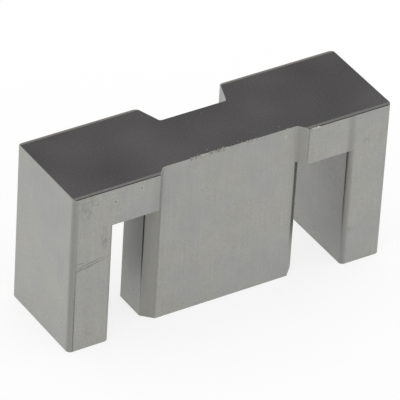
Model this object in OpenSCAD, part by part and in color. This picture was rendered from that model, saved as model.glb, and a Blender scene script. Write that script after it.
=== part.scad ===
// Ferrite core half of the economic flat type, size EFD 30/15/9, as pressed,
// sintered and ground.
// The three legs point down and rest on their ground faces at Z = 0; the back
// of the core faces up. X runs across the legs and Y from front to rear.
// The origin is in the mating plane, midway across and midway through the depth.

/* [Core] */
// Length across the outer legs
core_length = 30; // [28:0.1:34]
// Height from the mating faces to the back
core_height = 15; // [13.5:0.1:20]
// Depth of the outer legs and of the back's end blocks
core_depth = 9.1; // [8.6:0.1:12]

/* [Winding window] */
// Distance between the inner faces of the outer legs
window_width = 22.4; // [20.5:0.1:24.5]
// Depth of the window, from the mating faces up to the back
window_height = 11.5; // [8:0.1:12.5]

/* [Centre leg] */
// Width of the centre leg
centre_width = 14.6; // [12.5:0.1:16]
// Thickness of the centre leg
centre_thickness = 4.9; // [4.2:0.1:5.4]
// Set-back of the centre leg's front from the outer legs' fronts
centre_setback = 0.8; // [0.4:0.05:1]
// Leg of the 45 degree chamfer on the centre leg's long edges
centre_chamfer = 0.95; // [0.4:0.05:1.4]

/* [Recesses in the back] */
// Lean of the front recess's end walls from the depth direction, in degrees
front_wall_angle = 40; // [20:1:50]
// Radius where the front recess's floor turns into its end walls
front_root_radius = 0.4; // [0.1:0.05:0.6]
// Depth of the rear notch
notch_depth = 2.45; // [1.8:0.05:2.8]
// Width of the rear notch along its floor
notch_floor = 6.25; // [4:0.05:9]
// Lean of the rear notch's end walls from the depth direction, in degrees
notch_wall_angle = 19.5; // [10:0.5:30]
// Radius where the notch's end walls meet the rear faces
notch_lip_radius = 0.5; // [0.2:0.05:0.8]
// Radius where the notch's floor turns into its end walls
notch_root_radius = 0.25; // [0.1:0.05:0.5]

/* [Edges] */
// Radius of the upright edges of the outer legs and end blocks
edge_radius = 0.4; // [0.2:0.05:0.7]
// Width of the land that the pressing leaves along the back's long edges
land_width = 0.38; // [0.2:0.02:0.6]
// Fall of that land from the back to its outer edge
land_fall = 0.1; // [0.04:0.02:0.2]

/* [Hidden] */
$fn = 96;
// How far a cutting shape reaches past the surface that it cuts
over = 1;
leg_width = (core_length - window_width) / 2;
back_thickness = core_height - window_height;
front_face = -core_depth / 2;
rear_face = core_depth / 2;
recess_face = front_face + centre_setback;
notch_face = rear_face - notch_depth;
// Half widths of the recesses along their floors and at their mouths
recess_half = centre_width / 2 - centre_chamfer;
recess_mouth_half = recess_half + centre_setback * tan(front_wall_angle);
notch_half = notch_floor / 2;
notch_mouth_half = notch_half + notch_depth * tan(notch_wall_angle);

// Unit vector at a compass angle in the plan
function toward(angle) = [cos(angle), sin(angle)];

// The sliver between a corner and the arc that rounds it. The corner's two
// edges leave it at the angles given; cut away, the sliver rounds an outer
// corner, and added, it fills an inner one.
module corner_sliver(corner, angle_a, angle_b, radius) {
    half_angle = (angle_b - angle_a) / 2;
    reach = radius / tan(half_angle);
    centre = corner + toward((angle_a + angle_b) / 2) * radius / sin(half_angle);
    difference() {
        polygon([corner, corner + toward(angle_a) * reach, centre,
                 corner + toward(angle_b) * reach]);
        translate(centre) circle(r = radius);
    }
}

// Draws what follows on both sides of the middle plane
module both_sides() {
    children();
    mirror([1, 0]) children();
}

// Plan of the right outer leg, rounded on its four upright edges
module outer_leg_plan() {
    inner = window_width / 2;
    outer = core_length / 2;
    difference() {
        translate([inner, front_face]) square([leg_width, core_depth]);
        corner_sliver([inner, front_face], 0, 90, edge_radius);
        corner_sliver([outer, front_face], 90, 180, edge_radius);
        corner_sliver([outer, rear_face], 180, 270, edge_radius);
        corner_sliver([inner, rear_face], 270, 360, edge_radius);
    }
}

// Plan of the flat centre leg, an octagon of long front and rear faces
module centre_leg_plan() {
    half = centre_width / 2;
    rear = recess_face + centre_thickness;
    polygon([
        [-half, recess_face + centre_chamfer], [-half + centre_chamfer, recess_face],
        [half - centre_chamfer, recess_face], [half, recess_face + centre_chamfer],
        [half, rear - centre_chamfer], [half - centre_chamfer, rear],
        [-half + centre_chamfer, rear], [-half, rear - centre_chamfer]
    ]);
}

// Shallow recess in the back's front, with flared and rounded ends
module front_recess_plan() {
    flare = [tan(front_wall_angle), -1] * over;
    difference() {
        polygon([[-recess_half, recess_face], [recess_half, recess_face],
                 [recess_mouth_half, front_face] + flare,
                 [-recess_mouth_half, front_face] + [-flare.x, flare.y]]);
        both_sides()
            corner_sliver([recess_half, recess_face], 180, 270 + front_wall_angle,
                          front_root_radius);
    }
}

// Deep notch in the back's rear, narrower along its floor
module rear_notch_plan() {
    flare = [tan(notch_wall_angle), 1] * over;
    difference() {
        polygon([[-notch_half, notch_face], [notch_half, notch_face],
                 [notch_mouth_half, rear_face] + flare,
                 [-notch_mouth_half, rear_face] + [-flare.x, flare.y]]);
        both_sides()
            corner_sliver([notch_half, notch_face], 90 - notch_wall_angle, 180,
                          notch_root_radius);
    }
}

// Plan of the back that joins the legs
module back_plan() {
    outer = core_length / 2;
    difference() {
        translate([-outer, front_face]) square([core_length, core_depth]);
        front_recess_plan();
        rear_notch_plan();
        both_sides() {
            corner_sliver([outer, front_face], 90, 180, edge_radius);
            corner_sliver([outer, rear_face], 180, 270, edge_radius);
            corner_sliver([notch_mouth_half, rear_face], 270 - notch_wall_angle, 360,
                          notch_lip_radius);
        }
    }
}

// Wedge that takes the land off the back's front edges, along the whole length
module front_land() {
    slope = land_fall / land_width;
    translate([-core_length / 2 - over, front_face, core_height])
        rotate([90, 0, 90])
            linear_extrude(core_length + 2 * over)
                polygon([[-over, -land_fall - over * slope],
                         [land_width + over, over * slope],
                         [-over, over * slope]]);
}

module core() {
    color("#5c5b5a")
        difference() {
            union() {
                translate([0, 0, window_height])
                    linear_extrude(back_thickness) back_plan();
                linear_extrude(window_height) centre_leg_plan();
                linear_extrude(window_height) both_sides() outer_leg_plan();
            }
            front_land();
            mirror([0, 1, 0]) front_land();
        }
}

core();
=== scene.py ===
"""Looks of a ferrite E core half, economic flat type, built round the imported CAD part.

The core is one pressed, sintered and ground piece of manganese zinc ferrite. Its skin is made here
as a set of walls, each a plan course carried upwards, closed by flat caps, and welded to one mesh.
Lengths are in millimetres until a mesh is written, and then in metres.
"""

import logging
from dataclasses import dataclass, field
from enum import Enum
from typing import Any

import bpy
import numpy as np
from mathutils import Matrix, Vector
from mathutils.geometry import delaunay_2d_cdt


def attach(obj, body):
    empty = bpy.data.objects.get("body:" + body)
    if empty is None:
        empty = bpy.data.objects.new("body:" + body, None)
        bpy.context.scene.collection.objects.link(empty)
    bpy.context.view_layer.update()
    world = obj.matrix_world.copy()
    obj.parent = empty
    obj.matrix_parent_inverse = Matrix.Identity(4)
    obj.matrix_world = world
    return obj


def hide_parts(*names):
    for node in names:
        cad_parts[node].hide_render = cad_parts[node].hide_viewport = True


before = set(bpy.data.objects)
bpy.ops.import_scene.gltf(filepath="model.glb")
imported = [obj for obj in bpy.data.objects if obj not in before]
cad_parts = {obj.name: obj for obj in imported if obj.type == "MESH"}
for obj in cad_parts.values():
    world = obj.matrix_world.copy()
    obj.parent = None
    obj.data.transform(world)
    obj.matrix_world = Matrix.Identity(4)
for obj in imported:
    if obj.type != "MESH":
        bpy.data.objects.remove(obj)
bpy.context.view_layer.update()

Array = np.ndarray
MM = 0.001
log = logging.getLogger("ferrite_core")

FLASH_FROM = 0.3  # darkness of a seam from which it is flash, with a groove
SEAM_TAPER = 0.02  # share of a wall's height over which a groove dies away at either end
CHIP_FULL_AT = 0.05  # growth of an edge's radius at which its profile is all chip
CHIP_HOLLOW = 0.3  # sag of a chip's profile, as a share of its reach
WELDS_PER_MM = 1e4  # vertices that round to the same step of this grid are one
EDGE_SEED, CHIP_SEED = 31, 7


class Zone(Enum):
    """Surfaces of the core that were made in different ways, numbered as material slots."""

    BACK = 0  # under the upper punch, as sintered
    FLANK = 1  # against the die wall
    FRONT_LAND = 2  # narrow step of the punch along the front
    REAR_LAND = 3  # the same along the rear
    UNDERSIDE = 4  # under the lower punch, inside the winding window
    GROUND = 5  # mating faces, ground flat
    FLASH = 6  # dark lines where the die's parts met, and a painted reflection on the right chamfer


class Mark(Enum):
    """Marks that follow the surface, each kept as a number at every face corner."""

    CHIP = "chip"  # fresh fracture
    PORE = "pore"  # hollow of an open pore, painted darker as painted shade
    RIM = "rim"  # pale ring round a pore, a painted highlight of its lip; the mesh is not raised there
    TURN = "turn"  # how far the wall is turned between front and end, which sets painted shade on the flank
    SEAM = "seam"  # dark line along an upright edge, and the wide painted reflection on the right chamfer


# ---------------------------------------------------------------- surfaces


@dataclass
class Patch:
    """Part of the skin.

    Attributes:
        points: places of its vertices, (n, 3).
        normals: unit normals there, (n, 3).
        triangles: vertex numbers of each triangle, anticlockwise from outside, (k, 3).
        zones: the Zone number of each triangle, (k,).
        marks: a number per vertex for each mark that the patch carries.
    """

    points: Array
    normals: Array
    triangles: Array
    zones: Array
    marks: dict[Mark, Array] = field(default_factory=dict)


@dataclass(eq=False)
class Course:
    """Stretch of a plan outline, walked with the solid on its left.

    Attributes:
        points: plan places, (n, 2).
        normals: unit normals that point out of the solid, (n, 2).
    """

    points: Array
    normals: Array

    @property
    def lengths(self) -> Array:
        """Distance walked to each point."""
        steps = np.linalg.norm(np.diff(self.points, axis=0), axis=1)
        return np.concatenate([[0.0], np.cumsum(steps)])

    def mirrored(self) -> "Course":
        """The same stretch on the other side of the middle plane, walked the other way."""
        flip = np.array([-1.0, 1.0])
        return Course(self.points[::-1] * flip, self.normals[::-1] * flip)

    def inset(self, depth: Array | float) -> Array:
        """The stretch moved into the solid by depth."""
        return self.points - self.normals * np.reshape(depth, (-1, 1))


def turned(vectors: Array, angles: Array) -> Array:
    """Plan vectors turned anticlockwise: (x cos a - y sin a, x sin a + y cos a).

    Args:
        vectors: one vector (2,) or one for each angle, (n, 2).
        angles: angles in radians, (n,).

    Returns:
        The turned vectors, (n, 2).
    """
    x, y = np.broadcast_to(vectors, (len(angles), 2)).T
    return np.stack([x * np.cos(angles) - y * np.sin(angles), x * np.sin(angles) + y * np.cos(angles)], 1)


def rounded_course(corners: list[tuple[float, float]], radii: list[float], pitches: list[float],
                   guards: tuple[float, ...] = (0.03, 0.07, 0.13), arc_step: float = 7.5) -> Course:
    """Walks a polyline whose corners are rounded by exact arcs.

    An arc of radius r at a corner that turns by a starts r tan(a / 2) before the corner. A straight
    run has a point at each pitch, and more at each guard's distance from its ends, which keep
    shading and marks close to an arc.

    Args:
        corners: the polyline, ends included.
        radii: radius at each inner corner; 0 keeps a point on a straight line.
        pitches: spacing of the points on each run.
        guards: distances of the extra points from an arc.
        arc_step: angle between points on an arc, in degrees.

    Returns:
        The stretch with its exact normals.
    """
    knots = np.array(corners, float)
    ways = np.diff(knots, axis=0)
    ways /= np.linalg.norm(ways, axis=1)[:, None]
    points: list[Array] = []
    normals: list[Array] = []
    start = knots[0]
    for i, pitch in enumerate(pitches):
        way = ways[i]
        out = np.array([way[1], -way[0]])
        last = i == len(pitches) - 1
        angle = 0.0 if last else float(np.arctan2(np.cross(way, ways[i + 1]), way @ ways[i + 1]))
        radius = 0.0 if last else radii[i]
        end = knots[i + 1] - way * radius * np.tan(abs(angle) / 2)
        run = float((end - start) @ way)
        inner = np.linspace(0.0, run, max(2, int(np.ceil(run / pitch)) + 1))
        if run > 3 * guards[-1]:
            near = np.array(guards)
            inner = np.unique(np.round(np.concatenate([inner, near, run - near]), 9))
        points.append(start + inner[:, None] * way)
        normals.append(np.broadcast_to(out, (len(inner), 2)))
        if radius > 0.0:
            side = np.sign(angle)
            centre = end + np.array([-way[1], way[0]]) * radius * side
            sweep = np.linspace(0.0, angle, max(3, int(np.ceil(abs(np.degrees(angle)) / arc_step)) + 1))
            points.append(centre + turned(end - centre, sweep))
            normals.append(turned(out, sweep))
            start = points[-1][-1]
        else:
            start = end
    walked, out = np.vstack(points), np.vstack(normals)
    kept = np.concatenate([[True], np.linalg.norm(np.diff(walked, axis=0), axis=1) > 1e-7])
    return Course(walked[kept], out[kept])


def joined(*courses: Course | Array) -> Array:
    """Plan places of a closed loop of stretches, each of which ends where the next begins."""
    return np.vstack([(c.points if isinstance(c, Course) else c)[:-1] for c in courses])


def grid_triangles(rows: int, columns: int) -> Array:
    """Two triangles for each cell of a grid whose rows go up and whose columns go on along a course."""
    cell = (np.arange(rows - 1)[:, None] * columns + np.arange(columns - 1)).ravel()
    lower = np.stack([cell, cell + 1, cell + columns + 1], 1)
    upper = np.stack([cell, cell + columns + 1, cell + columns], 1)
    return np.vstack([lower, upper])


def grid_normals(points: Array) -> Array:
    """Unit normals of a grid (rows, columns, 3): the cross product of its step along and its step up."""
    across = np.cross(np.gradient(points, axis=1), np.gradient(points, axis=0))
    return across / np.maximum(np.linalg.norm(across, axis=2, keepdims=True), 1e-12)


def filled(loop: Array, hinges: list[tuple[Array, Array]] | None = None) -> Array:
    """Triangles between the points of a closed plan loop.

    A constrained Delaunay triangulation of the loop and the hinges, kept where the loop closes it in.

    Args:
        loop: the loop's points, (n, 2).
        hinges: pairs of loop points that an edge has to join.

    Returns:
        The triangles, anticlockwise seen from above, (k, 3).
    """
    around = np.arange(len(loop))
    edges = np.stack([around, np.roll(around, -1)], 1).tolist()
    for ends in hinges or []:
        edges.append([int(np.argmin(np.linalg.norm(loop - end, axis=1))) for end in ends])
    inside_only = 1
    found = delaunay_2d_cdt(list(map(Vector, loop)), edges, [], inside_only, 1e-9)
    source = np.array([origin[0] for origin in found[3]])
    return source[np.array(found[2])]


# ---------------------------------------------------------------- the core's own sizes


@dataclass(frozen=True)
class Pore:
    """Open pore in a flank: a round hollow of depth (1 - (d / r)^2)^2 at distance d, in painted shade,
    ringed by a painted highlight.
    """

    centre: tuple[float, float, float]
    radius: float
    depth: float


@dataclass(frozen=True)
class Chip:
    """Small break along the back's edge: half an ellipse, at a place along X."""

    at: float
    half_width: float
    reach: float


@dataclass(frozen=True)
class DarkLine:
    """Dark line up an edge, at a plan place, that fades from the height full_at to gone_at."""

    place: tuple[float, float]
    strength: float
    full_at: float
    gone_at: float
    width: float = 0.05


@dataclass(frozen=True)
class CoreSizes:
    """Sizes of core half EFD 30/15/9, in millimetres and degrees."""

    length: float = 30.0
    height: float = 15.0
    depth: float = 9.1
    window_width: float = 22.4
    window_height: float = 11.5
    centre_width: float = 14.6
    centre_thickness: float = 4.9
    centre_setback: float = 0.8
    centre_chamfer: float = 0.95
    front_wall_angle: float = 40.0
    front_root_radius: float = 0.4
    notch_depth: float = 2.45
    notch_floor: float = 6.25
    notch_wall_angle: float = 19.5
    notch_lip_radius: float = 0.5
    notch_root_radius: float = 0.25
    edge_radius: float = 0.4
    land_width: float = 0.38
    land_fall: float = 0.1
    crisp_radius: float = 0.07  # what tumbling leaves on a sharp upright edge
    back_round: float = 0.05  # the same along the back's edge
    foot_round: float = 0.03  # and along the ground faces' edges
    window_round: float = 0.04  # and along the window's upper edges

    @property
    def half(self) -> float:
        """Half the length."""
        return self.length / 2

    @property
    def face(self) -> float:
        """Distance of the front and rear faces from the middle."""
        return self.depth / 2

    @property
    def hinge(self) -> float:
        """Distance of the lands' inner edges from the middle."""
        return self.face - self.land_width

    @property
    def recess(self) -> float:
        """Place of the front recess's floor along Y."""
        return self.centre_setback - self.face

    @property
    def root(self) -> float:
        """Half the width of the recess's floor, before its ends are rounded."""
        return self.centre_width / 2 - self.centre_chamfer

    @property
    def flush(self) -> float:
        """How far from the middle the recess's floor and the centre leg's front are one face."""
        return self.root - self.front_root_radius * np.tan(np.radians(90 - self.front_wall_angle) / 2)

    @property
    def join(self) -> float:
        """Distance from the middle at which the outer legs' inner corners begin."""
        return self.window_width / 2 + self.edge_radius

    def top(self, y: Array) -> Array:
        """Height of the back: level, and falling along each land."""
        return self.height - self.land_fall * np.maximum(np.abs(y) - self.hinge, 0.0) / self.land_width


# ---------------------------------------------------------------- walls


def profile_rows(low: int, shares: Array, high: int) -> tuple[Array, Array, Array]:
    """Rows of a wall's profile.

    Args:
        low: rows in the lower rounding.
        shares: rows on the straight part, from 0 at its foot to 1 at its head.
        high: rows in the upper rounding.

    Returns:
        For each row, the tilt of the surface in radians (-90 degrees faces down), its share of the
        straight part, and -1, 0 or 1 for the lower rounding, the straight part or the upper rounding.
    """
    quarter = np.pi / 2
    tilts = np.concatenate([np.linspace(-quarter, 0, low + 1)[:-1], np.zeros(len(shares)),
                            np.linspace(0, quarter, high + 1)[1:]])
    along = np.concatenate([np.zeros(low), shares, np.ones(high)])
    part = np.concatenate([-np.ones(low), np.zeros(len(shares)), np.ones(high)])
    return tilts, along, part


@dataclass
class Wall:
    """Wall carried up from a plan course between two heights, with its edges rounded.

    Attributes:
        course: the plan stretch.
        low: height of the foot.
        sizes: the core's sizes; the head follows their top() where high is None.
        shares: rows on the straight part.
        low_round, high_round: radii of the edges, one number or one for each course point.
        high: height of the head.
        turn_shade_weight: how strongly the wall shows that it lies between front and end.
        edge_rows: rows in each rounding.
        groove: depth of a seam that is fully dark.
    """

    course: Course
    low: float
    sizes: CoreSizes
    shares: Array
    low_round: Array | float = 0.0
    high_round: Array | float = 0.0
    high: float | None = None
    turn_shade_weight: float = 1.0
    edge_rows: int = 4
    groove: float = 0.05

    def head(self, y: Array) -> Array:
        """Height of the head at plan places with that Y."""
        return self.sizes.top(y) if self.high is None else np.full_like(y, self.high)

    def patch(self, pores: tuple[Pore, ...] = (), seams_and_reflection: tuple[DarkLine, ...] = ()) -> Patch:
        """Builds the wall.

        A row with tilt t stands r (1 - cos t) inside the course, r being the radius of its edge. It
        is r (1 - sin t) below the head, or r (1 + sin t) above the foot, and the straight rows share
        what lies between. A chip swaps the upper arc for a hollow chord. Pores and seams then push
        the surface in along its normal; seams leave the wall's two ends alone, where others join it.

        Args:
            pores: pores that may lie on this wall.
            seams_and_reflection: dark lines that may lie on it.

        Returns:
            The patch: die-wall flank, with flash where a seam is dark.
        """
        points, out = self.course.points, self.course.normals
        columns = len(points)
        tilt, share, part = profile_rows(self.edge_rows, self.shares, self.edge_rows)
        tilt, share, part = tilt[:, None], share[:, None], part[:, None]
        low_r = np.broadcast_to(self.low_round, columns)[None, :]
        high_r = np.broadcast_to(self.high_round, columns)[None, :]
        radius = np.where(part < 0, low_r, np.where(part > 0, high_r, 0.0))
        fresh = np.clip((high_r - self.sizes.back_round) / CHIP_FULL_AT, 0.0, 1.0) * (part > 0)
        swing = tilt / (np.pi / 2)
        hollow = CHIP_HOLLOW * np.sin(np.pi * swing)
        into = (1 - fresh) * (1 - np.cos(tilt)) + fresh * np.maximum(swing + hollow, 0.0)
        below = (1 - fresh) * (1 - np.sin(tilt)) + fresh * (1 - swing + hollow)
        inset = radius * into
        plan = points[None] - out[None] * inset[..., None]
        crown = self.head(plan[..., 1])
        foot = self.low + low_r
        z = foot + (self.head(points[None, :, 1]) - high_r - foot) * share
        z = np.where(part < 0, self.low + low_r * (1 + np.sin(tilt)), z)
        z = np.where(part > 0, crown - high_r * below, z)
        grid = np.dstack([plan, z])
        normals = np.dstack([out[None] * np.cos(tilt)[..., None],
                             np.broadcast_to(np.sin(tilt), z.shape)])
        sunk, pore, rim = pore_field(grid, pores)
        seam = seam_field(grid, seams_and_reflection)
        ends = np.clip(np.minimum(share, 1 - share) / SEAM_TAPER, 0.0, 1.0)
        sunk = sunk + self.groove * np.clip((seam - FLASH_FROM) / (1 - FLASH_FROM), 0.0, 1.0) * ends
        chipped = np.broadcast_to(fresh, z.shape)
        disturbed = (sunk != 0.0) | (chipped > 0)
        grid = grid - normals * sunk[..., None]
        normals = np.where(disturbed[..., None], grid_normals(grid), normals)
        # The flank draws faces halfway between front and end darker, as painted shade; walls over the
        # window take less of it.
        turn = np.abs(2 * out[:, 0] * out[:, 1]) * self.turn_shade_weight
        marks = {Mark.CHIP: chipped, Mark.PORE: pore, Mark.RIM: rim,
                 Mark.TURN: np.broadcast_to(turn, z.shape), Mark.SEAM: seam}
        triangles = grid_triangles(*z.shape)
        flash = seam.ravel()[triangles].mean(axis=1) > FLASH_FROM
        zones = np.where(flash, Zone.FLASH.value, Zone.FLANK.value)
        return Patch(grid.reshape(-1, 3), normals.reshape(-1, 3), triangles, zones,
                     {m: np.array(v, float).ravel() for m, v in marks.items()})


def pore_field(grid: Array, pores: tuple[Pore, ...]) -> tuple[Array, Array, Array]:
    """Depth and marks of pores on a grid of places.

    Args:
        grid: places, (rows, columns, 3).
        pores: the pores.

    Returns:
        How far the surface is pushed in, the painted shade of each hollow and the painted highlight of its
        rim.
    """
    sunk = np.zeros(grid.shape[:2])
    hollow, rim = sunk.copy(), sunk.copy()
    for pore in pores:
        near = np.linalg.norm(grid - np.array(pore.centre), axis=2) / pore.radius
        bowl = np.clip(1 - near**2, 0.0, 1.0) ** 2
        ring = np.exp(-(((near - 1.35) / 0.35) ** 2))
        sunk += pore.depth * bowl
        hollow = np.maximum(hollow, bowl**0.7)
        rim = np.maximum(rim, ring)
    return sunk, hollow, rim


def seam_field(grid: Array, seams_and_reflection: tuple[DarkLine, ...]) -> Array:
    """Darkness of upright lines: a bell over the plan distance, times a ramp over the height.

    Args:
        grid: places, (rows, columns, 3).
        seams_and_reflection: the lines.

    Returns:
        Darkness from 0 to 1 at each place.
    """
    dark = np.zeros(grid.shape[:2])
    for seam in seams_and_reflection:
        away = np.linalg.norm(grid[..., :2] - np.array(seam.place), axis=2)
        fade = np.clip((grid[..., 2] - seam.gone_at) / (seam.full_at - seam.gone_at), 0.0, 1.0)
        dark = np.maximum(dark, seam.strength * np.exp(-((away / seam.width) ** 2)) * fade)
    return dark


def cap(plan: Array, triangles: Array, height: Array, upward: bool, zones: Array, normals: Array) -> Patch:
    """Flat face over a filled loop.

    Args:
        plan: the loop's points, (n, 2).
        triangles: triangles anticlockwise from above, (k, 3).
        height: height of each point.
        upward: whether the face looks up.
        zones: zone number of each triangle.
        normals: one normal for each triangle, (k, 3).

    Returns:
        The patch, whose triangles share no vertices, so that each keeps its own normal.
    """
    order = triangles if upward else triangles[:, ::-1]
    places = np.column_stack([plan, height])[order.ravel()]
    return Patch(places, np.repeat(normals, 3, axis=0), np.arange(len(places)).reshape(-1, 3), zones)


def cap_below(loop: Array, height: float, zone: Zone) -> Patch:
    """Level face that looks down, over a closed plan loop."""
    triangles = filled(loop)
    down = np.broadcast_to([0.0, 0.0, -1.0], (len(triangles), 3))
    return cap(loop, triangles, np.full(len(loop), height), False,
               np.full(len(triangles), zone.value), down)


# ---------------------------------------------------------------- sub-assemblies


@dataclass
class Back:
    """The back that joins the legs, with its front recess, rear notch and pressed lands.

    Attributes:
        sizes: the core's sizes.
        chips: breaks along the front edge.
        pores, seams: pores and dark lines of its walls.
        taper: length over which the window's edge rounding dies away.
        fine_from: place along X from which both steps' front faces have close points.
    """

    sizes: CoreSizes
    chips: tuple[Chip, ...]
    pores: tuple[Pore, ...]
    seams_and_reflection: tuple[DarkLine, ...]
    taper: float = 0.5
    fine_from: float = -8.4

    def __post_init__(self) -> None:
        """Lays out the plan."""
        s = self.sizes
        lean = np.radians(s.front_wall_angle)
        root = s.root
        lip = root + s.centre_setback * np.tan(lean)
        fold = s.hinge + s.back_round * np.sin(lean)  # wall point above which the land begins
        fold_x = root + (fold + s.recess) * np.tan(lean)
        self.hinge_x = fold_x + s.back_round * np.cos(lean)
        dense = 0.05
        self.step_left = rounded_course(
            [(-s.join, -s.face), (self.fine_from, -s.face), (-lip, -s.face), (-fold_x, -fold),
             (-root, s.recess), (-s.flush, s.recess)],
            [0.0, s.crisp_radius, 0.0, s.front_root_radius], [dense, dense, dense, 0.06, dense])
        self.step_right = self.step_left_plain().mirrored()
        stops = (-s.flush, -3.85, 2.8, s.flush)  # close together where the edge is ragged
        self.recess = rounded_course([(x, s.recess) for x in stops], [0.0] * 2, [0.15, 0.03, dense])
        tilt = np.radians(s.notch_wall_angle)
        floor = s.face - s.notch_depth
        half = s.notch_floor / 2
        mouth = half + s.notch_depth * np.tan(tilt)
        bend = s.hinge + s.back_round * np.sin(tilt)
        bend_x = half + (bend - floor) * np.tan(tilt)
        self.notch_hinge_x = bend_x + s.back_round * np.cos(tilt)
        right = [(s.join, s.face), (mouth, s.face), (bend_x, bend), (half, floor)]
        left = [(-x, y) for x, y in right[::-1]]
        radii = [s.notch_lip_radius, 0.0, s.notch_root_radius]
        self.rear = rounded_course(right + left, radii + radii[::-1],
                                   [0.5, 0.05, 0.12, 0.12, 0.12, 0.05, 0.5])
        self.shares = np.unique(np.concatenate([np.linspace(0, 0.56, 5), np.linspace(0.58, 0.9, 24),
                                                np.linspace(0.93, 1.0, 3)]))

    def step_left_plain(self) -> Course:
        """The left step with a few points only on its front face, for the side that has no pores."""
        s = self.sizes
        keep = self.step_left.points[:, 0] > self.fine_from
        keep[0] = True
        points_per_mm, kept_every = 20, 8
        numbers = (self.step_left.points[:, 0] * points_per_mm).round().astype(int)
        thinned = numbers % kept_every == 0
        keep |= thinned & (self.step_left.points[:, 1] < -s.face + 1e-9)
        return Course(self.step_left.points[keep], self.step_left.normals[keep])

    def edge(self, course: Course) -> Array:
        """Radius of the back's edge along a course: the plain rounding, or a chip's reach if more."""
        x, y = course.points.T
        radius = np.full(len(x), self.sizes.back_round)
        noise = np.random.default_rng(EDGE_SEED).uniform(0.55, 1.0, len(x))
        for chip in self.chips:
            arch = np.sqrt(np.clip(1 - ((x - chip.at) / chip.half_width) ** 2, 0.0, 1.0))
            broken = chip.reach * arch * noise * (arch > 0) * (y < 0)
            radius = np.maximum(radius, self.sizes.back_round + broken)
        return radius

    def window_edge(self, course: Course) -> Array:
        """Radius of the window's upper edge, dying away to nothing at both ends of a course."""
        walked = course.lengths
        inner = np.minimum(walked, walked[-1] - walked)
        return self.sizes.window_round * np.clip(inner / self.taper, 0.0, 1.0) ** 2

    def wall(self, course: Course, open_below: bool) -> Wall:
        """The upper wall over a course, with a rounded lower edge where the window is below it."""
        return Wall(course, self.sizes.window_height, self.sizes, self.shares,
                    low_round=self.window_edge(course) if open_below else 0.0,
                    high_round=self.edge(course), turn_shade_weight=0.55 if open_below else 1.0)

    def patches(self, outer_left: Course, outer_right: Course) -> list[Patch]:
        """Builds the walls and the top.

        Args:
            outer_left, outer_right: plan stretches round the two ends.

        Returns:
            Patches of the back, without its underside.
        """
        around = ((outer_left, False), (self.step_left, True), (self.recess, False),
                  (self.step_right, True), (outer_right, False), (self.rear, True))
        made = [self.wall(course, open_below).patch(self.pores, self.seams_and_reflection)
                for course, open_below in around]
        s = self.sizes
        loop = joined(*(course.inset(self.edge(course)) for course, _ in around))
        end = s.half - s.back_round
        hinges = [(np.array([side * end, way * s.hinge]), np.array([side * inner, way * s.hinge]))
                  for side in (-1, 1) for way, inner in ((-1, self.hinge_x), (1, self.notch_hinge_x))]
        triangles = filled(loop, hinges)
        middle = loop[triangles].mean(axis=1)[:, 1]
        zones = np.where(middle < -s.hinge, Zone.FRONT_LAND.value,
                         np.where(middle > s.hinge, Zone.REAR_LAND.value, Zone.BACK.value))
        slope = np.where(np.abs(middle) > s.hinge, np.sign(middle) * s.land_fall / s.land_width, 0.0)
        normals = np.column_stack([np.zeros_like(slope), slope, np.ones_like(slope)])
        normals /= np.linalg.norm(normals, axis=1)[:, None]
        made.append(cap(loop, triangles, s.top(loop[:, 1]), True, zones, normals))
        return made

    def underside(self, inner_left: Course, inner_right: Course, centre_rest: Course) -> Patch:
        """The back's lower face in the winding window, round the centre leg."""
        steps = [self.step_left, centre_rest, self.step_right, inner_right, self.rear, inner_left]
        rim = [c.inset(self.window_edge(c)) if c in (self.step_left, self.step_right, self.rear)
               else c.points[::-1] for c in steps]
        return cap_below(joined(*rim), self.sizes.window_height, Zone.UNDERSIDE)


LOWER_SHARES = np.concatenate([[0.0, 0.02], np.linspace(0.08, 0.92, 11), [0.96, 0.98, 1.0]])


@dataclass
class Leg:
    """A leg: the walls below the back and the ground face at its foot.

    Attributes:
        sizes: the core's sizes.
        outside: plan stretch that the leg shares with the back.
        inside: the rest of its plan, which faces the winding window.
    """

    sizes: CoreSizes
    outside: Course
    inside: Course

    def patches(self, pores: tuple[Pore, ...], seams_and_reflection: tuple[DarkLine, ...]) -> list[Patch]:
        """Builds both walls and the foot."""
        s = self.sizes
        made = [Wall(course, 0.0, s, LOWER_SHARES, low_round=s.foot_round, high=s.window_height)
                .patch(pores, seams_and_reflection) for course in (self.outside, self.inside)]
        loop = joined(self.outside.inset(s.foot_round), self.inside.inset(s.foot_round))
        made.append(cap_below(loop, 0.0, Zone.GROUND))
        return made


@dataclass
class OuterLegs:
    """The two legs at the ends, as deep as the core, and the plan of the ends above them."""

    sizes: CoreSizes

    def __post_init__(self) -> None:
        """Lays out the plan of the left leg, and mirrors it for the right one."""
        s = self.sizes
        dense_from = -13.1  # pores lie on the front face from here on
        self.outer_left = rounded_course(
            [(-s.join, s.face), (-s.half, s.face), (-s.half, -s.face), (dense_from, -s.face),
             (-s.join, -s.face)],
            [s.edge_radius, s.edge_radius, 0.0], [0.6, 0.5, 0.3, 0.05])
        plain = rounded_course(
            [(-s.join, s.face), (-s.half, s.face), (-s.half, -s.face), (-s.join, -s.face)],
            [s.edge_radius, s.edge_radius], [0.6, 0.5, 0.5])
        self.outer_right = plain.mirrored()
        inner = s.window_width / 2
        self.inner_left = rounded_course(
            [(-s.join, -s.face), (-inner, -s.face), (-inner, s.face), (-s.join, s.face)],
            [s.edge_radius, s.edge_radius], [0.1, 0.5, 0.1])
        self.inner_right = self.inner_left.mirrored()

    def legs(self) -> tuple[Leg, Leg]:
        """The left and the right leg."""
        return (Leg(self.sizes, self.outer_left, self.inner_left),
                Leg(self.sizes, self.outer_right, self.inner_right))


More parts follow.
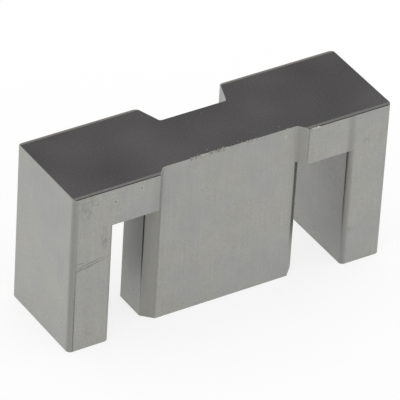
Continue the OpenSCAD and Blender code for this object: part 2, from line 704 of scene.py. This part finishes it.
@dataclass
class CentreLeg:
    """The flat centre leg, a long octagon in plan whose front is one face with the recess's floor."""

    sizes: CoreSizes
    front: Course

    def __post_init__(self) -> None:
        """Lays out the plan of the chamfers, the sides and the rear."""
        s = self.sizes
        half, cut = s.centre_width / 2, s.centre_chamfer
        front, rear = s.recess, s.recess + s.centre_thickness
        right = [(s.flush, front), (half - cut, front), (half, front + cut), (half, rear - cut),
                 (half - cut, rear)]
        left = [(-x, y) for x, y in right[::-1]]
        self.rest = rounded_course(right + left, [s.crisp_radius] * 8,
                                   [0.1, 0.25, 0.4, 0.25, 0.6, 0.25, 0.4, 0.25, 0.1])

    def leg(self) -> Leg:
        """The leg."""
        return Leg(self.sizes, self.front, self.rest)


# ---------------------------------------------------------------- materials


def linear(code: str, alpha: float = 1.0) -> tuple[float, float, float, float]:
    """Linear colour of an sRGB hex code such as "#8c8b86"."""
    srgb = np.array([int(code[i:i + 2], 16) for i in (1, 3, 5)]) / 255
    light = np.where(srgb <= 0.04045, srgb / 12.92, ((srgb + 0.055) / 1.055) ** 2.4)
    return (*map(float, light), alpha)


def socket(sockets: Any, key: str | int) -> bpy.types.NodeSocket:
    """The socket with that number, identifier or name."""
    if isinstance(key, int):
        return sockets[key]
    exact = [s for s in sockets if s.identifier == key]
    return exact[0] if exact else sockets[key]


def add_node(tree: bpy.types.NodeTree, kind: str, settings: dict[str, Any] | None = None,
             links: dict[str | int, bpy.types.NodeSocket] | None = None) -> bpy.types.Node:
    """Adds a node.

    Args:
        tree: the node tree.
        kind: the node's type, without "ShaderNode".
        settings: its properties, and values of its inputs.
        links: outputs of other nodes, by the input that each goes to.

    Returns:
        The node.
    """
    node = tree.nodes.new("ShaderNode" + kind)
    for key, value in (settings or {}).items():
        if isinstance(key, str) and hasattr(node, key):
            setattr(node, key, value)
        else:
            socket(node.inputs, key).default_value = value
    for key, source in (links or {}).items():
        tree.links.new(source, socket(node.inputs, key))
    return node


@dataclass(frozen=True)
class Blemish:
    """Mark on a flank: an ellipsoid about a place, turned about Y, that fine noise may break up."""

    centre: tuple[float, float, float]
    reach: tuple[float, float, float]
    strength: float
    tilt: float = 0.0
    broken: bool = True


class Palette:
    """Node tree of a new material, with the few patterns that all finishes are mixed from."""

    def __init__(self, name: str) -> None:
        """Starts a material with Object coordinates and no shader yet."""
        self.material = bpy.data.materials.new(name)
        self.material.use_nodes = True
        self.tree = self.material.node_tree
        self.tree.nodes.clear()
        self.place = self.add("TexCoord").outputs["Object"]

    def add(self, kind: str, settings: dict[str, Any] | None = None,
            links: dict[str | int, Any] | None = None) -> bpy.types.Node:
        """Adds a node to this material."""
        return add_node(self.tree, kind, settings, links)

    def noise(self, grain_mm: float, detail: float = 2.0, stretch: tuple[float, float, float] = (1, 1, 1),
              roughness: float = 0.5) -> bpy.types.NodeSocket:
        """Noise whose grains are about grain_mm across, times stretch along each axis."""
        place = self.place
        if stretch != (1, 1, 1):
            place = self.add("Mapping", {"vector_type": "TEXTURE", "Scale": stretch},
                             {"Vector": place}).outputs[0]
        settings = {"Scale": 1 / (grain_mm * MM), "Detail": detail, "Roughness": roughness}
        return self.add("TexNoise", settings, {"Vector": place}).outputs["Fac"]

    def span(self, value: bpy.types.NodeSocket, start: float, end: float, low: float = 0.0,
             high: float = 1.0) -> bpy.types.NodeSocket:
        """Takes start..end to low..high, held at both ends."""
        return self.add("MapRange", {"From Min": start, "From Max": end, "To Min": low, "To Max": high},
                        {"Value": value}).outputs[0]

    def math(self, operation: str, a: bpy.types.NodeSocket,
             b: bpy.types.NodeSocket | float) -> bpy.types.NodeSocket:
        """One arithmetic step on two values, the second of which may be a number."""
        if isinstance(b, (int, float)):
            return self.add("Math", {"operation": operation, 1: b}, {0: a}).outputs[0]
        return self.add("Math", {"operation": operation}, {0: a, 1: b}).outputs[0]

    def scaled(self, colour: bpy.types.NodeSocket, by: bpy.types.NodeSocket) -> bpy.types.NodeSocket:
        """A colour made brighter or darker by a factor."""
        return self.add("VectorMath", {"operation": "SCALE"}, {0: colour, "Scale": by}).outputs[0]

    def blend(self, base: Any, other: Any, share: bpy.types.NodeSocket) -> bpy.types.NodeSocket:
        """Mixes two colours, each a hex code or an output."""
        settings: dict[str, Any] = {"data_type": "RGBA", "blend_type": "MIX"}
        links = {"Factor_Float": share}
        for key, colour in (("A_Color", base), ("B_Color", other)):
            if isinstance(colour, str):
                settings[key] = linear(colour)
            else:
                links[key] = colour
        return socket(self.add("Mix", settings, links).outputs, "Result_Color")

    def mark(self, mark: Mark) -> bpy.types.NodeSocket:
        """A mark kept on the mesh."""
        return self.add("Attribute", {"attribute_name": mark.value}).outputs["Fac"]

    def blemishes(self, found: tuple[Blemish, ...], breakup: bpy.types.NodeSocket,
                  wander_mm: float = 0.0) -> bpy.types.NodeSocket:
        """Sum of blemishes, each 1 at its middle and 0 on its ellipsoid, times its strength.

        Args:
            found: the blemishes.
            breakup: pattern that the broken ones are multiplied by.
            wander_mm: how far noise may carry them sideways, so that a line is not straight.

        Returns:
            The sum.
        """
        place = self.place
        if wander_mm:
            sway = self.add("TexNoise", {"Scale": 1 / (0.9 * MM), "Detail": 2.0}, {"Vector": place})
            place = self.add("VectorMath", {"operation": "MULTIPLY_ADD", 1: (wander_mm * MM,) * 3},
                             {0: sway.outputs["Color"], 2: place}).outputs[0]
        total = None
        for blemish in found:
            scaled = self.add("Mapping", {"vector_type": "TEXTURE",
                                          "Location": tuple(c * MM for c in blemish.centre),
                                          "Rotation": (0.0, float(np.radians(blemish.tilt)), 0.0),
                                          "Scale": tuple(r * MM for r in blemish.reach)},
                              {"Vector": place}).outputs[0]
            away = self.add("VectorMath", {"operation": "LENGTH"}, {0: scaled}).outputs["Value"]
            part = self.span(away, 1.0, 0.2, 0.0, blemish.strength)
            if blemish.broken:
                part = self.math("MULTIPLY", part, breakup)
            total = part if total is None else self.math("ADD", total, part)
        return total

    def finish(self, colour: Any, roughness: Any, bump: bpy.types.NodeSocket | None, bump_mm: float,
               ior: float, specular: float = 0.5) -> bpy.types.Material:
        """Joins colour, roughness and bump in the shader.

        Args:
            colour: output or hex code of the base colour.
            roughness: output or number.
            bump: height pattern from 0 to 1.
            bump_mm: height that 1 stands for.
            ior: index of refraction.
            specular: specular level.

        Returns:
            The material.
        """
        settings: dict[str, Any] = {"IOR": ior, "Specular IOR Level": specular}
        links: dict[str | int, Any] = {}
        for key, value in (("Base Color", colour), ("Roughness", roughness)):
            if isinstance(value, str):
                settings[key] = linear(value)
            elif isinstance(value, float):
                settings[key] = value
            else:
                links[key] = value
        if bump is not None:
            links["Normal"] = self.add("Bump", {"Strength": 1.0, "Distance": bump_mm * MM},
                                       {"Height": bump}).outputs["Normal"]
        shader = self.add("BsdfPrincipled", settings, links)
        self.add("OutputMaterial", {}, {"Surface": shader.outputs[0]})
        return self.material


@dataclass(frozen=True)
class AsSinteredFerrite:
    """Manganese zinc ferrite as it leaves the kiln, pressed by a punch face.

    Charcoal grey and matt: crystals of 10 to 20 micrometres break up any reflection. On the back
    this charcoal is set well below the flanks' grey, a shaded copy of the same ferrite: partly the
    punch face's own duller tone and partly painted shade. The crystals are too fine to see, so the
    speckle is drawn ten times coarser, at 0.15 mm, with the slow drift of tone that the setter plate
    leaves over 8 mm.
    """

    name: str = "as_sintered_ferrite_and_shade"
    dark: str = "#333132"
    pale: str = "#575556"
    glint: str = "#8e8c88"
    chip: str = "#b5b4ad"
    ior: float = 1.5
    specular: float = 0.25
    roughness: float = 0.62
    crumbs: tuple[Blemish, ...] = ()

    def material(self) -> bpy.types.Material:
        """Builds the material."""
        p = Palette(self.name)
        speckle = p.noise(0.15, 3.0, roughness=0.6)
        drift = p.noise(8.0, 1.0)
        tone = p.math("ADD", p.span(speckle, 0.3, 0.7, 0.0, 0.6), p.span(drift, 0.35, 0.65, 0.0, 0.4))
        colour = p.blend(self.dark, self.pale, tone)
        dots = p.add("TexVoronoi", {"Scale": 1 / (0.55 * MM), "Randomness": 1.0}, {"Vector": p.place})
        glint = p.span(dots.outputs["Distance"], 0.10, 0.04, 0.0, 0.5)
        rare = p.span(p.noise(1.3, 0.0), 0.60, 0.68)
        colour = p.blend(colour, self.glint, p.math("MULTIPLY", glint, rare))
        if self.crumbs:
            colour = p.blend(colour, self.chip, p.blemishes(self.crumbs, rare))
        roughness = p.span(speckle, 0.3, 0.7, self.roughness - 0.05, self.roughness + 0.07)
        return p.finish(colour, roughness, speckle, 0.006, self.ior, self.specular)


@dataclass(frozen=True)
class BurnishedFerrite:
    """Ferrite flank that slid along the polished die wall.

    The rubbing closes the skin to a satin grey with a sheen that grows at a slant. Its base grey is
    set well above the back's charcoal, a lit copy of the same ferrite: partly the rubbed finish and
    partly painted sheen. Drag lines run up and down, some 0.1 mm apart, with a cloudy drift of warm
    and cool tones over 3 to 6 mm. Faces between front and end are painted darker, as painted shade.
    """

    name: str = "burnished_ferrite_and_sheen"
    warm: str = "#87867d"
    cool: str = "#838380"
    painted_turn_shade: str = "#77766d"
    soot_and_shade: str = "#232321"
    # Colour of smears, and of the patches of painted shade.
    smear_and_shade: str = "#63625d"
    chip: str = "#b3b2ab"
    ior: float = 2.2
    specular: float = 0.5
    roughness: float = 0.28
    smudges_and_shade: tuple[Blemish, ...] = ()
    scratches: tuple[Blemish, ...] = ()
    spots: tuple[Blemish, ...] = ()

    def material(self) -> bpy.types.Material:
        """Builds the material."""
        p = Palette(self.name)
        drag = p.noise(0.12, 2.0, (1.0, 1.0, 40.0))
        grain = p.noise(0.14, 3.0, roughness=0.6)
        cloud = p.noise(4.5, 3.0)
        # Base grey: the rubbed finish, set paler by painted sheen.
        colour = p.blend(self.warm, self.cool, p.span(cloud, 0.38, 0.62))
        # Painted shade on faces turned between front and end.
        colour = p.blend(colour, self.painted_turn_shade, p.mark(Mark.TURN))
        tone = p.math("ADD", p.span(grain, 0.25, 0.75, -0.17, 0.17), p.span(drag, 0.3, 0.7, -0.06, 0.06))
        tone = p.math("ADD", tone, p.span(p.noise(1.6, 2.0), 0.3, 0.7, 0.96, 1.04))
        colour = p.scaled(colour, tone)
        breakup = p.span(p.noise(0.22, 2.0, (1.0, 1.0, 1.8)), 0.42, 0.62)
        if self.smudges_and_shade:
            # Smears, and patches of painted shade.
            colour = p.blend(colour, self.smear_and_shade, p.blemishes(self.smudges_and_shade, breakup))
        if self.scratches:
            colour = p.blend(colour, self.soot_and_shade, p.blemishes(self.scratches, breakup, 0.15))
        if self.spots:
            colour = p.blend(colour, self.chip, p.blemishes(self.spots, breakup))
        colour = p.blend(colour, self.soot_and_shade, p.mark(Mark.SEAM))
        # Painted highlight round each pore and painted shade in its hollow, over the real pit in the mesh.
        colour = p.blend(colour, self.chip, p.span(p.mark(Mark.RIM), 0.0, 1.0, 0.0, 0.38))
        colour = p.blend(colour, self.soot_and_shade, p.span(p.mark(Mark.PORE), 0.0, 1.0, 0.0, 0.75))
        colour = p.blend(colour, self.chip, p.mark(Mark.CHIP))
        roughness = p.math("ADD", p.span(cloud, 0.35, 0.65, self.roughness - 0.04, self.roughness + 0.04),
                           p.span(p.mark(Mark.TURN), 0.0, 1.0, 0.0, 0.12))
        height = p.math("ADD", p.span(drag, 0.0, 1.0, 0.0, 0.6), p.span(grain, 0.0, 1.0, 0.0, 0.4))
        return p.finish(colour, roughness, height, 0.004, self.ior, self.specular)


@dataclass(frozen=True)
class FlashLineAndReflection:
    """Dark line where the die's parts met: thin flash that broke away and left an open, sooty groove.

    Matt and nearly black, and it fades into the flank's satin grey where the flash was thinner. The
    wide dark strip on the centre leg's right chamfer takes this finish too: there it is a painted
    reflection of the shaded right leg, not flash.
    """

    name: str = "flash_line_and_reflection"
    soot_and_shade: str = "#161615"
    faded: str = "#86857f"
    roughness: float = 0.7

    def material(self) -> bpy.types.Material:
        """Builds the material, from the seam's own mark and 0.14 mm grain."""
        p = Palette(self.name)
        grain = p.noise(0.14, 3.0, roughness=0.6)
        dark = p.math("ADD", p.span(p.mark(Mark.SEAM), 0.28, 0.75), p.span(grain, 0.3, 0.7, -0.12, 0.12))
        return p.finish(p.blend(self.faded, self.soot_and_shade, dark), self.roughness, grain, 0.004, 1.5, 0.25)


@dataclass(frozen=True)
class GroundFerrite:
    """Mating face, ground flat on a diamond wheel.

    Even grey with a low sheen. The wheel's lines run along the core; real ones are a few micrometres
    apart, drawn here at 0.06 mm so that they show.
    """

    name: str = "ground_ferrite"
    dark: str = "#6a6966"
    pale: str = "#7c7b77"
    ior: float = 2.0
    specular: float = 0.5
    roughness: float = 0.3

    def material(self) -> bpy.types.Material:
        """Builds the material."""
        p = Palette(self.name)
        lines = p.noise(0.06, 2.0, (60.0, 1.0, 1.0))
        colour = p.blend(self.dark, self.pale, p.span(lines, 0.3, 0.7))
        roughness = p.span(lines, 0.3, 0.7, self.roughness - 0.05, self.roughness + 0.08)
        return p.finish(colour, roughness, lines, 0.003, self.ior, self.specular)


@dataclass(frozen=True)
class PressedLand:
    """Land that the punch's narrow step leaves along the back's edge.

    Its strip is painted a paler grey, as painted light where it slopes towards the front or the
    rear, with a dark line along its outer edge.
    """

    name: str
    painted_light_band: str
    line: str
    inner: str
    side: float
    line_width: float
    sizes: CoreSizes
    roughness: float = 0.5

    def material(self) -> bpy.types.Material:
        """Builds the material: a ramp over the distance from the core's face."""
        p = Palette(self.name)
        y = p.add("SeparateXYZ", {}, {0: p.place}).outputs["Y"]
        face = self.sizes.face * MM
        away = p.span(p.math("MULTIPLY", y, self.side), face, face - self.sizes.land_width * MM)
        edge = self.line_width / self.sizes.land_width
        ramp = p.add("ValToRGB", {}, {0: away})
        stops = [(0.0, self.line), (max(edge - 0.08, 0.02), self.line), (edge + 0.05, self.painted_light_band),
                 (0.88, self.painted_light_band), (1.0, self.inner)]
        for spot, _ in stops[1:-1]:
            ramp.color_ramp.elements.new(spot)
        for element, (spot, code) in zip(ramp.color_ramp.elements, stops):
            element.position, element.color = spot, linear(code)
        ragged = p.span(p.noise(0.25, 3.0), 0.3, 0.7, 0.9, 1.1)
        colour = p.scaled(ramp.outputs[0], ragged)
        grain = p.noise(0.14, 3.0, roughness=0.6)
        return p.finish(colour, self.roughness, grain, 0.005, 1.5, 0.3)


# ---------------------------------------------------------------- the whole core


FRONT_Y = -CoreSizes.depth / 2  # the front face


@dataclass
class CoreHalf:
    """The whole core half, one mesh of welded patches."""

    name: str = "ferrite_e_core"
    sizes: CoreSizes = field(default_factory=CoreSizes)
    pores: tuple[Pore, ...] = (
        Pore((-11.26, FRONT_Y, 14.32), 0.08, 0.03),
        Pore((-11.14, FRONT_Y, 13.69), 0.13, 0.08),
        Pore((-8.77, FRONT_Y, 14.28), 0.12, 0.08),
    )
    seams_and_reflection: tuple[DarkLine, ...] = (
        DarkLine((-7.3, -2.8), 0.95, 7.5, 1.0, 0.08),
        DarkLine((-6.35, -3.75), 0.28, 9.0, 0.0, 0.08),
        DarkLine((11.2, -4.15), 0.85, 9.0, 1.5, 0.05),
        DarkLine((7.02, FRONT_Y), 0.37, 12.0, 11.0, 0.06),
        DarkLine((-7.02, FRONT_Y), 0.28, 12.0, 11.0, 0.06),
        DarkLine((-14.6, FRONT_Y), 0.50, 5.0, 17.0, 0.06),
        # Painted reflection of the shaded right leg: dark on the right chamfer above 4.7 mm, gone below
        # 4.1 mm, and grooved like flash.
        DarkLine((6.83, -3.27), 0.62, 4.7, 4.1, 0.60),  # wide: the dark strip on the right chamfer
    )

    @property
    def chips(self) -> tuple[Chip, ...]:
        """Small breaks along the back's front edge, in the stretches where it is ragged."""
        widest, least_width, least_reach = 0.05, 0.03, 0.02
        draw = np.random.default_rng(CHIP_SEED)
        found: list[Chip] = []
        for start, end, spacing, reach in ((-3.7, -0.3, 0.13, 0.24), (-0.3, 1.3, 0.24, 0.15),
                                           (1.45, 2.65, 0.2, 0.15), (5.42, 5.6, 0.12, 0.13),
                                           (7.2, 8.05, 0.14, 0.13)):
            places = np.arange(start, end, spacing)
            places = places + draw.uniform(-0.3, 0.3, len(places)) * spacing
            sizes = draw.uniform(0.2, 1.0, (len(places), 2)) * (widest, reach)
            found += [Chip(float(x), float(w) + least_width, float(r) + least_reach)
                      for x, (w, r) in zip(places, sizes)]
        return tuple(found)

    def patches(self) -> list[Patch]:
        """Builds all the patches: back, legs and the underside between them."""
        ends = OuterLegs(self.sizes)
        back = Back(self.sizes, self.chips, self.pores, self.seams_and_reflection)
        centre = CentreLeg(self.sizes, back.recess)
        made = back.patches(ends.outer_left, ends.outer_right)
        for leg in (*ends.legs(), centre.leg()):
            made += leg.patches(self.pores, self.seams_and_reflection)
        made.append(back.underside(ends.inner_left, ends.inner_right, centre.rest))
        return made

    def build(self) -> bpy.types.Object:
        """Welds the patches and writes the mesh.

        Vertices within a ten-thousandth of a millimetre are one, and triangles that this closes up
        are left out. Normals, marks and zones stay with the corners and the faces.

        Returns:
            The object, at the origin.
        """
        patches = self.patches()
        counts = np.cumsum([0] + [len(p.points) for p in patches])
        points = np.vstack([p.points for p in patches])
        normals = np.vstack([p.normals for p in patches])
        triangles = np.vstack([p.triangles + n for p, n in zip(patches, counts)])
        zones = np.concatenate([p.zones for p in patches])
        keys = np.round(points * WELDS_PER_MM).astype(np.int64)
        _, first, welded = np.unique(keys, axis=0, return_index=True, return_inverse=True)
        welded = welded.ravel()
        faces = welded[triangles]
        whole = (faces[:, 0] != faces[:, 1]) & (faces[:, 1] != faces[:, 2]) & (faces[:, 2] != faces[:, 0])
        faces, triangles, zones = faces[whole], triangles[whole], zones[whole]
        mesh = bpy.data.meshes.new(self.name)
        mesh.from_pydata((points[first] * MM).tolist(), [], faces.tolist(), shade_flat=False)
        mesh.polygons.foreach_set("material_index", zones.astype(np.int32))
        corners = triangles.ravel()
        for mark in Mark:
            values = np.concatenate([p.marks.get(mark, np.zeros(len(p.points))) for p in patches])
            layer = mesh.attributes.new(mark.value, "FLOAT", "CORNER")
            layer.data.foreach_set("value", values[corners].astype(np.float32))
        mesh.normals_split_custom_set(normals[corners].astype(np.float32).tolist())
        mesh.update()
        made = bpy.data.objects.new(self.name, mesh)
        bpy.context.scene.collection.objects.link(made)
        return made

    def flank(self) -> BurnishedFerrite:
        """The flanks' finish: smears and scratches, a pale spot on the centre face, and patches of painted
        shade.
        """
        front_y, inner = -self.sizes.face, self.sizes.window_width / 2
        on_front = tuple(Blemish((x, front_y, z), (wide, 0.3, high), strength)
                         for x, z, wide, high, strength in (
                             (11.85, 3.4, 0.6, 0.55, 0.7), (12.7, 12.0, 0.55, 0.6, 0.6),
                             (-12.04, 10.3, 0.5, 1.6, 0.9), (-13.8, 13.8, 1.1, 1.7, 0.85),
                             (-13.18, 1.2, 0.55, 1.0, 0.75)))
        others = (Blemish((-12.8, front_y, 13.95), (0.2, 0.3, 0.18), 0.7, 0.0, False),
                  Blemish((14.8, front_y, 3.5), (0.4, 0.4, 0.9), 0.5),
                  *(Blemish((x, front_y, 13.2), (0.06, 0.2, 1.7), 0.3, 0.0, False) for x in (-11.5, 11.5)),
                  Blemish((-14.75, front_y + 0.1, 14.6), (0.3, 0.4, 0.35), 0.8),
                  # Painted shade: the rounded front-left corner, darker over its whole height.
                  Blemish((-14.85, front_y + 0.15, 7.0), (0.5, 0.5, 14.0), 0.6, 0.0, False),
                  # Painted shade in the winding window: the top of the centre leg's left chamfer, the
                  # right leg's inner face, most near its front, and the centre leg's left side.
                  Blemish((-6.8, -3.3, 11.3), (0.8, 0.8, 0.9), 0.5),
                  Blemish((inner, -3.4, 7.6), (0.5, 3.0, 3.8), 0.8),
                  Blemish((inner, -4.4, 7.5), (0.5, 6.0, 16.0), 0.92, 0.0, False),
                  Blemish((-7.3, -1.7, 10.5), (0.7, 4.5, 10.0), 0.78, 0.0, False))
        scratches = tuple(Blemish((x, front_y, z), (along, 2.0, across), strength, tilt, False)
                          for x, z, along, across, strength, tilt in (
                              (-13.15, 8.25, 1.9, 0.07, 1.0, -13.0), (-13.2, 8.52, 1.7, 0.06, 1.0, -11.0),
                              (-14.15, 8.15, 0.55, 0.07, 1.0, -24.0), (-14.1, 8.72, 0.45, 0.06, 0.9, 2.0)))
        spot = Blemish((5.28, self.sizes.recess, 14.28), (0.2, 0.2, 0.2), 0.45, 0.0, False)
        return BurnishedFerrite(smudges_and_shade=on_front + others, scratches=scratches, spots=(spot,))

    def dress(self, piece: bpy.types.Object) -> None:
        """Gives each zone its finish, in the order of Zone's numbers."""
        crumb_places = ((-2.95, -3.45), (-1.9, -3.2), (-0.6, -3.5), (0.9, -3.35), (4.95, -3.1))
        crumbs = tuple(Blemish((x, y, self.sizes.height), (0.07, 0.07, 0.1), 0.6, 0.0, False)
                       for x, y in crumb_places)
        # The back's charcoal is partly painted shade: it is set darker than the flanks' grey.
        sintered = AsSinteredFerrite(crumbs=crumbs).material()
        # The flanks' pale grey is partly painted sheen.
        flank = self.flank().material()
        # The lands' paler strips are painted light.
        front = PressedLand("pressed_land_front", "#6c6b69", "#262525", "#514f50", -1.0, 0.15,
                            self.sizes).material()
        rear = PressedLand("pressed_land_rear", "#6c6762", "#5f5b57", "#514f50", 1.0, 0.05,
                           self.sizes).material()
        underside = AsSinteredFerrite("as_sintered_window", "#55534f", "#62605c", roughness=0.6).material()
        ground = GroundFerrite().material()
        for material in (sintered, flank, front, rear, underside, ground, FlashLineAndReflection().material()):
            piece.data.materials.append(material)


# ---------------------------------------------------------------- studio


@dataclass
class Studio:
    """White sweep under soft even light, and the camera.

    Attributes:
        camera_at: the camera's place, in metres.
        right, down, forward: its axes.
        lens: focal length for a sensor 36 mm wide.
    """

    camera_at: tuple[float, float, float] = (-0.170437, -0.256969, 0.224404)
    right: tuple[float, float, float] = (0.85174, -0.52150, 0.05076)
    down: tuple[float, float, float] = (-0.26554, -0.51313, -0.81620)
    forward: tuple[float, float, float] = (0.45169, 0.68172, -0.57553)
    lens: float = 415.29
    floor_shine: float = 0.78  # share of the floor that is plain white to the camera
    floor_mirrored: float = 0.88  # the same to what mirrors it
    floor_half: float = 0.6

    def add_camera(self) -> None:
        """Adds the camera and makes it the scene's."""
        data = bpy.data.cameras.new("camera")
        data.sensor_width, data.lens = 36.0, self.lens
        data.clip_start, data.clip_end = 0.01, 10.0
        camera = bpy.data.objects.new("camera", data)
        bpy.context.scene.collection.objects.link(camera)
        axes = Matrix((self.right, [-d for d in self.down], [-f for f in self.forward])).transposed()
        camera.matrix_world = Matrix.LocRotScale(Vector(self.camera_at), axes.to_quaternion(), None)
        bpy.context.scene.camera = camera

    def add_floor(self) -> None:
        """Adds the floor, a flat sheet a hundredth of a millimetre below the feet."""
        h, z = self.floor_half, -0.01 * MM
        mesh = bpy.data.meshes.new("floor")
        mesh.from_pydata([(-h, -h, z), (h, -h, z), (h, h, z), (-h, h, z)], [], [(0, 1, 2, 3)])
        floor = bpy.data.objects.new("floor", mesh)
        bpy.context.scene.collection.objects.link(floor)
        material = bpy.data.materials.new("white_paper")
        material.use_nodes = True
        tree = material.node_tree
        tree.nodes.clear()
        path = add_node(tree, "LightPath")
        seen = add_node(tree, "Math", {"operation": "MAXIMUM"},
                        {0: path.outputs["Is Camera Ray"], 1: path.outputs["Is Transmission Ray"]})
        seen = add_node(tree, "Math", {"operation": "MULTIPLY", 1: self.floor_shine}, {0: seen.outputs[0]})
        mirrored = add_node(tree, "Math", {"operation": "MULTIPLY", 1: self.floor_mirrored},
                            {0: path.outputs["Is Glossy Ray"]})
        share = add_node(tree, "Math", {"operation": "MAXIMUM"},
                         {0: seen.outputs[0], 1: mirrored.outputs[0]})
        paper = add_node(tree, "BsdfDiffuse", {"Color": linear("#ffffff")})
        glow = add_node(tree, "Emission", {"Color": linear("#ffffff"), "Strength": 1.0})
        both = add_node(tree, "MixShader", {},
                        {0: share.outputs[0], 1: paper.outputs[0], 2: glow.outputs[0]})
        add_node(tree, "OutputMaterial", {}, {"Surface": both.outputs[0]})
        mesh.materials.append(material)

    def add_light(self) -> None:
        """Lights the scene evenly from all sides with a white world."""
        world = bpy.data.worlds.new("white_tent")
        world.use_nodes = True
        bpy.context.scene.world = world
        tree = world.node_tree
        tree.nodes.clear()
        sky = add_node(tree, "Background", {"Color": linear("#ffffff"), "Strength": 1.0})
        add_node(tree, "OutputWorld", {}, {"Surface": sky.outputs[0]})

    def build(self) -> None:
        """Adds camera, floor and light, and leaves colours unaltered."""
        self.add_camera()
        self.add_floor()
        self.add_light()
        bpy.context.scene.view_settings.view_transform = "Standard"


def main() -> None:
    """Builds the core and the studio, in order, and reports each."""
    logging.basicConfig(level=logging.INFO, format="%(message)s")
    core = CoreHalf()
    piece = core.build()
    core.dress(piece)
    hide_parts("core")
    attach(piece, "root")
    log.info("%s: %d triangles", piece.name, len(piece.data.polygons))
    studio = Studio()
    studio.build()
    log.info("studio: camera, floor and light")


if __name__ == "__main__":
    main()
